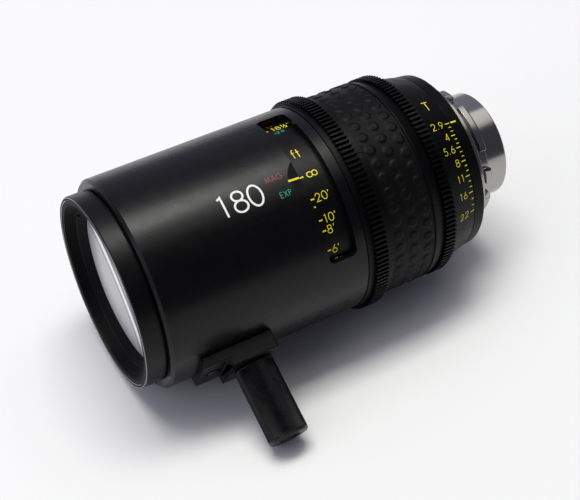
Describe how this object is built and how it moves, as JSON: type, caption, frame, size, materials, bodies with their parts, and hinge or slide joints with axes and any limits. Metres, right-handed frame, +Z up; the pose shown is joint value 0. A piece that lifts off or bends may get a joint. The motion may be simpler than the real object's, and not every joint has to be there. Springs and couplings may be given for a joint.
{
  "type": "cinema prime lens",
  "caption": "Long macro cinema prime lens with a focus window, geared focus and iris rings, rubber grip, lugged steel mount and support post.",
  "frame": {"origin": "centre of the mount's rear seat, on the optical axis", "axes": "+X along the optical axis from the front glass to the mount, +Z up, as the lens lies with its focus gear and its post's tip on the floor; the post points to -Y and below level"},
  "size_m": [0.2099, 0.144, 0.1088],
  "materials": {
    "barrel_anodised": "fine bead-blasted black anodised aluminium",
    "ring_anodised": "turned satin black anodised aluminium",
    "gear_anodised": "hobbed satin black anodised aluminium",
    "drum_anodised": "fine turned black anodised aluminium with filled engraving",
    "grip_rubber": "moulded matt black rubber",
    "foot_anodised": "milled black anodised aluminium",
    "post_anodised": "knurled black anodised aluminium",
    "screw_black": "black oxide steel",
    "inner_black": "sprayed matt black paint against stray light",
    "blade_steel": "blackened spring steel",
    "mount_steel": "turned stainless steel",
    "screw_steel": "plain stainless steel",
    "shim_brass": "rolled brass",
    "pin_brass": "turned brass",
    "front_glass": "polished and coated",
    "inner_glass": "polished and coated"
  },
  "bodies": {
    "housing": {"front_ring": "ring_anodised", "front_baffle": "inner_black", "front_retainer": "inner_black", "front_element": "front_glass", "front_spacer": "inner_black", "second_element": "inner_glass", "front_barrel": "barrel_anodised", "main_tube": "inner_black", "grip_core": "ring_anodised", "grip_rubber": "grip_rubber", "cove_ring": "ring_anodised", "iris_plate": "inner_black", "iris_keeper": "inner_black", "index_ring": "ring_anodised", "rear_cell": "inner_black", "rear_element_inner": "inner_glass", "rear_element_outer": "inner_glass", "rear_retainer_inner": "inner_black", "rear_retainer_outer": "inner_black", "mount_shim": "shim_brass", "mount_flange": "mount_steel", "mount_screws": "screw_steel", "support_foot": "foot_anodised", "foot_screw": "screw_black", "support_post": "post_anodised", "post_stud": "screw_steel"},
    "focus_ring": {"focus_gear": "gear_anodised", "focus_drum": "drum_anodised", "drum_grub_screws": "screw_black"},
    "focusing_group": {"focus_cell": "inner_black", "focus_element_front": "inner_glass", "focus_element_rear": "inner_glass", "focus_retainer_front": "inner_black", "focus_retainer_rear": "inner_black", "follower_pins": "pin_brass"},
    "iris_ring": {"iris_ring": "gear_anodised", "iris_drive_pin": "screw_steel", "iris_drive_ring": "pin_brass"},
    "blade_1": {"iris_blade_1": "blade_steel"},
    "blade_2": {"iris_blade_2": "blade_steel"},
    "blade_3": {"iris_blade_3": "blade_steel"},
    "blade_4": {"iris_blade_4": "blade_steel"},
    "blade_5": {"iris_blade_5": "blade_steel"},
    "blade_6": {"iris_blade_6": "blade_steel"},
    "blade_7": {"iris_blade_7": "blade_steel"},
    "blade_8": {"iris_blade_8": "blade_steel"},
    "blade_9": {"iris_blade_9": "blade_steel"}
  },
  "joints": [
    {"name": "focus_turn", "type": "hinge", "parent": "housing", "child": "focus_ring", "pos_m": [-0.0777, 0, 0], "axis": [-1, 0, 0], "range_deg": [0, 320]},
    {"name": "focus_slide", "type": "slide", "parent": "housing", "child": "focusing_group", "axis": [-1, 0, 0], "range_m": [0, 0.016]},
    {"name": "iris_turn", "type": "hinge", "parent": "housing", "child": "iris_ring", "pos_m": [-0.031, 0, 0], "axis": [-1, 0, 0], "range_deg": [0, 57.4]},
    {"name": "blade_1_turn", "type": "hinge", "parent": "housing", "child": "blade_1", "pos_m": [-0.037, -0.00905, -0.02287], "axis": [1, 0, 0], "range_deg": [0, 36.2]},
    {"name": "blade_2_turn", "type": "hinge", "parent": "housing", "child": "blade_2", "pos_m": [-0.037, 0.00777, -0.02334], "axis": [1, 0, 0], "range_deg": [0, 36.2]},
    {"name": "blade_3_turn", "type": "hinge", "parent": "housing", "child": "blade_3", "pos_m": [-0.037, 0.02096, -0.01288], "axis": [1, 0, 0], "range_deg": [0, 36.2]},
    {"name": "blade_4_turn", "type": "hinge", "parent": "housing", "child": "blade_4", "pos_m": [-0.037, 0.02433, 0.0036], "axis": [1, 0, 0], "range_deg": [0, 36.2]},
    {"name": "blade_5_turn", "type": "hinge", "parent": "housing", "child": "blade_5", "pos_m": [-0.037, 0.01633, 0.0184], "axis": [1, 0, 0], "range_deg": [0, 36.2]},
    {"name": "blade_6_turn", "type": "hinge", "parent": "housing", "child": "blade_6", "pos_m": [-0.037, 0.00068, 0.02459], "axis": [1, 0, 0], "range_deg": [0, 36.2]},
    {"name": "blade_7_turn", "type": "hinge", "parent": "housing", "child": "blade_7", "pos_m": [-0.037, -0.01529, 0.01927], "axis": [1, 0, 0], "range_deg": [0, 36.2]},
    {"name": "blade_8_turn", "type": "hinge", "parent": "housing", "child": "blade_8", "pos_m": [-0.037, -0.0241, 0.00494], "axis": [1, 0, 0], "range_deg": [0, 36.2]},
    {"name": "blade_9_turn", "type": "hinge", "parent": "housing", "child": "blade_9", "pos_m": [-0.037, -0.02164, -0.01171], "axis": [1, 0, 0], "range_deg": [0, 36.2]}
  ],
  "couplings": [
    {"joint": "focus_slide", "follows": "focus_turn", "m_per_rad": 0.002864},
    {"joint": "blade_1_turn", "follows": "iris_turn", "ratio": 0.627},
    {"joint": "blade_2_turn", "follows": "iris_turn", "ratio": 0.627},
    {"joint": "blade_3_turn", "follows": "iris_turn", "ratio": 0.627},
    {"joint": "blade_4_turn", "follows": "iris_turn", "ratio": 0.627},
    {"joint": "blade_5_turn", "follows": "iris_turn", "ratio": 0.627},
    {"joint": "blade_6_turn", "follows": "iris_turn", "ratio": 0.627},
    {"joint": "blade_7_turn", "follows": "iris_turn", "ratio": 0.627},
    {"joint": "blade_8_turn", "follows": "iris_turn", "ratio": 0.627},
    {"joint": "blade_9_turn", "follows": "iris_turn", "ratio": 0.627}
  ]
}
